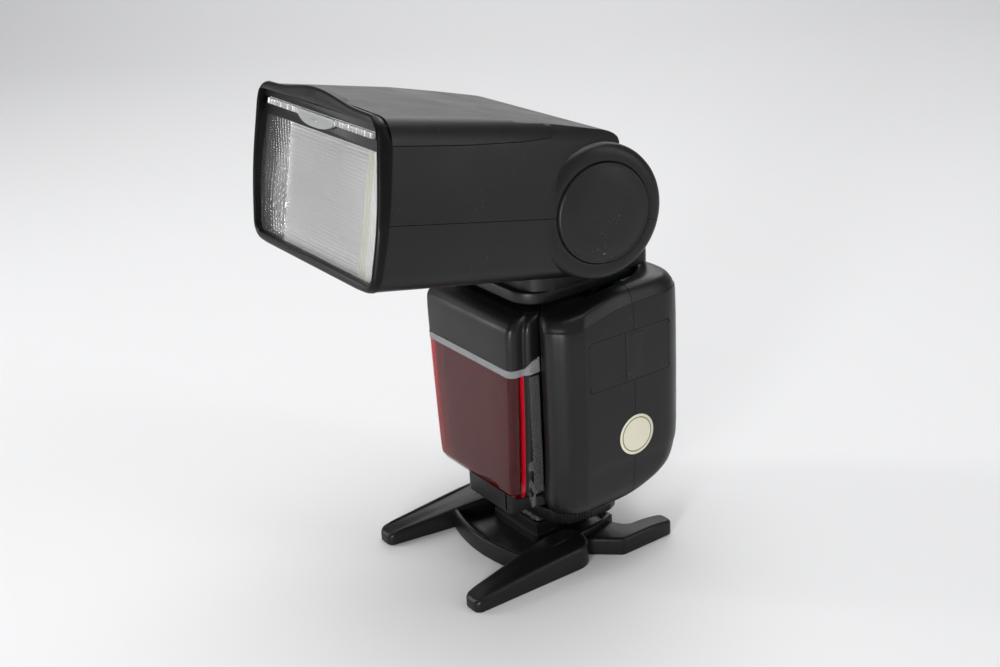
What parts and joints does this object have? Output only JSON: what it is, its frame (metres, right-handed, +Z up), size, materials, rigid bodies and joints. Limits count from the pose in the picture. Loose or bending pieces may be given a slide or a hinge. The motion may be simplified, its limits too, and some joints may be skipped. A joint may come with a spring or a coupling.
{
  "type": "speedlight flash",
  "caption": "Camera speedlight with a tilting, swivelling zoom head, red assist-lamp window, rear controls and hot shoe foot, standing in its mini stand.",
  "frame": {"origin": "axis of the tripod thread and hot shoe foot, at the surface the mini stand rests on", "axes": "+Z up; -Y is the front, where the lens points with the head level; +X is the flash's own left side"},
  "size_m": [0.0818, 0.113, 0.1628],
  "materials": {
    "stand_plastic": "fine satin grain",
    "body_plastic": "fine satin grain",
    "head_plastic": "fine satin grain",
    "frame_plastic": "semi gloss",
    "panel_plastic": "satin",
    "red_window": "clear gloss",
    "rubber": "matte",
    "lens_clear": "ribbed",
    "spreader_clear": "ribbed",
    "white_plastic": "satin",
    "tube_glass": "clear",
    "mirror_metal": "bright",
    "steel": "satin",
    "brass": "turned",
    "lamp_clear": "clear",
    "board_green": "solder mask",
    "inner_plastic": "moulded",
    "cell_sleeve": "printed sleeve, plain",
    "capacitor_sleeve": "shrink sleeve",
    "display_glass": "clear",
    "display": "grey liquid crystal",
    "sticker": "paper-like label"
  },
  "bodies": {
    "stand": {"mini_stand": "stand_plastic", "thread_insert": "brass"},
    "flash_body": {"hot_shoe_foot": "steel", "contact_carrier": "inner_plastic", "foot_block": "body_plastic", "front_shell": "body_plastic", "rear_shell": "body_plastic", "af_window": "red_window", "af_lamp_module": "lamp_clear", "swivel_bushing": "inner_plastic", "port_sockets": "inner_plastic", "battery_box": "inner_plastic", "battery_cells": "cell_sleeve", "battery_contacts": "steel", "main_board": "board_green", "control_board": "board_green", "main_capacitor": "capacitor_sleeve", "rear_panel": "panel_plastic", "lcd_module": "display", "lcd_window": "display_glass", "side_sticker": "sticker", "case_screws": "steel"},
    "contacts": {"contact_pins": "brass"},
    "lever": {"lock_lever": "body_plastic"},
    "pin": {"lock_pin": "steel"},
    "flap_front": {"port_cover_front": "rubber"},
    "flap_rear": {"port_cover_rear": "rubber"},
    "door": {"battery_door": "body_plastic"},
    "dial": {"select_dial": "panel_plastic"},
    "set_key": {"set_button": "rubber"},
    "switch": {"power_switch": "panel_plastic"},
    "soft_key_1": {"key_1": "rubber"},
    "soft_key_2": {"key_2": "rubber"},
    "soft_key_3": {"key_3": "rubber"},
    "soft_key_4": {"key_4": "rubber"},
    "mode_key": {"mode_button": "rubber"},
    "sync_key": {"sync_button": "rubber"},
    "test_key": {"test_button": "rubber"},
    "turret": {"turret_housing": "head_plastic", "swivel_shaft": "inner_plastic", "retaining_ring": "steel", "tilt_shaft": "steel"},
    "head": {"upper_shell": "head_plastic", "lower_shell": "head_plastic", "top_cover": "head_plastic", "bezel": "frame_plastic", "fresnel_lens": "lens_clear", "hinge_cap_left": "head_plastic", "hinge_cap_right": "head_plastic", "click_disc": "steel", "panel_tray": "inner_plastic", "zoom_frame": "inner_plastic", "zoom_motor": "steel", "head_board": "board_green"},
    "spreader": {"wide_panel": "spreader_clear"},
    "bounce_card": {"catchlight_panel": "white_plastic"},
    "zoom": {"zoom_carriage": "inner_plastic", "reflector": "mirror_metal", "flash_tube": "tube_glass"},
    "screw": {"lead_screw": "steel"}
  },
  "joints": [
    {"name": "shoe_slide", "type": "slide", "parent": "stand", "child": "flash_body", "axis": [0, 1, 0], "range_m": [0, 0.0225]},
    {"name": "lock_turn", "type": "hinge", "parent": "flash_body", "child": "lever", "pos_m": [0, 0, 0.015], "axis": [0, 0, 1], "range_deg": [0, 50]},
    {"name": "lock_pin_drop", "type": "slide", "parent": "flash_body", "child": "pin", "axis": [0, 0, -1], "range_m": [0, 0.0018]},
    {"name": "contact_press", "type": "slide", "parent": "flash_body", "child": "contacts", "axis": [0, 0, 1], "range_m": [0, 0.0006], "stiffness_N_per_m": 400, "springref_m": -0.0004},
    {"name": "front_flap_open", "type": "hinge", "parent": "flash_body", "child": "flap_front", "pos_m": [0.03725, -0.00785, 0.074], "axis": [0, 0, -1], "range_deg": [0, 75], "stiffness_Nm_per_rad": 0.0008},
    {"name": "rear_flap_open", "type": "hinge", "parent": "flash_body", "child": "flap_rear", "pos_m": [0.03725, 0.02355, 0.074], "axis": [0, 0, 1], "range_deg": [0, 75], "stiffness_Nm_per_rad": 0.0008},
    {"name": "battery_door_open", "type": "hinge", "parent": "flash_body", "child": "door", "pos_m": [-0.03705, 0.0065, 0.032], "axis": [0, -1, 0], "range_deg": [0, 85]},
    {"name": "dial_turn", "type": "hinge", "parent": "flash_body", "child": "dial", "pos_m": [0, 0.0335, 0.0446], "axis": [0, 1, 0], "continuous": true},
    {"name": "power_slide", "type": "slide", "parent": "flash_body", "child": "switch", "axis": [1, 0, 0], "range_m": [-0.0026, 0.0026]},
    {"name": "key_1_press", "type": "slide", "parent": "flash_body", "child": "soft_key_1", "axis": [0, -1, 0], "range_m": [0, 0.0008], "stiffness_N_per_m": 250, "springref_m": -0.0004},
    {"name": "key_2_press", "type": "slide", "parent": "flash_body", "child": "soft_key_2", "axis": [0, -1, 0], "range_m": [0, 0.0008], "stiffness_N_per_m": 250, "springref_m": -0.0004},
    {"name": "key_3_press", "type": "slide", "parent": "flash_body", "child": "soft_key_3", "axis": [0, -1, 0], "range_m": [0, 0.0008], "stiffness_N_per_m": 250, "springref_m": -0.0004},
    {"name": "key_4_press", "type": "slide", "parent": "flash_body", "child": "soft_key_4", "axis": [0, -1, 0], "range_m": [0, 0.0008], "stiffness_N_per_m": 250, "springref_m": -0.0004},
    {"name": "mode_press", "type": "slide", "parent": "flash_body", "child": "mode_key", "axis": [0, -1, 0], "range_m": [0, 0.0008], "stiffness_N_per_m": 250, "springref_m": -0.0004},
    {"name": "sync_press", "type": "slide", "parent": "flash_body", "child": "sync_key", "axis": [0, -1, 0], "range_m": [0, 0.0008], "stiffness_N_per_m": 250, "springref_m": -0.0004},
    {"name": "test_press", "type": "slide", "parent": "flash_body", "child": "test_key", "axis": [0, -1, 0], "range_m": [0, 0.0008], "stiffness_N_per_m": 250, "springref_m": -0.0004},
    {"name": "set_press", "type": "slide", "parent": "flash_body", "child": "set_key", "axis": [0, -1, 0], "range_m": [0, 0.0008], "stiffness_N_per_m": 250, "springref_m": -0.0004},
    {"name": "head_swivel", "type": "hinge", "parent": "flash_body", "child": "turret", "pos_m": [0, 0.0035, 0.093], "axis": [0, 0, 1], "range_deg": [-180, 150]},
    {"name": "head_tilt", "type": "hinge", "parent": "turret", "child": "head", "pos_m": [0, 0, 0.12094], "axis": [-1, 0, 0], "range_deg": [-18.19, 78.81]},
    {"name": "spreader_pull", "type": "slide", "parent": "head", "child": "spreader", "axis": [0, -0.981, 0.1941], "range_m": [0, 0.04]},
    {"name": "bounce_card_pull", "type": "slide", "parent": "head", "child": "bounce_card", "axis": [0, -0.981, 0.1941], "range_m": [0, 0.04]},
    {"name": "zoom_travel", "type": "slide", "parent": "head", "child": "zoom", "axis": [0, -0.981, 0.1941], "range_m": [0, 0.017]},
    {"name": "screw_turn", "type": "hinge", "parent": "head", "child": "screw", "pos_m": [0.0306, -0.04827, 0.13457], "axis": [0, -0.981, 0.1941], "range_deg": [0, 2040]}
  ],
  "couplings": [
    {"joint": "lock_pin_drop", "follows": "lock_turn", "m_per_rad": 0.002021},
    {"joint": "screw_turn", "follows": "zoom_travel", "rad_per_m": 2073.5}
  ]
}
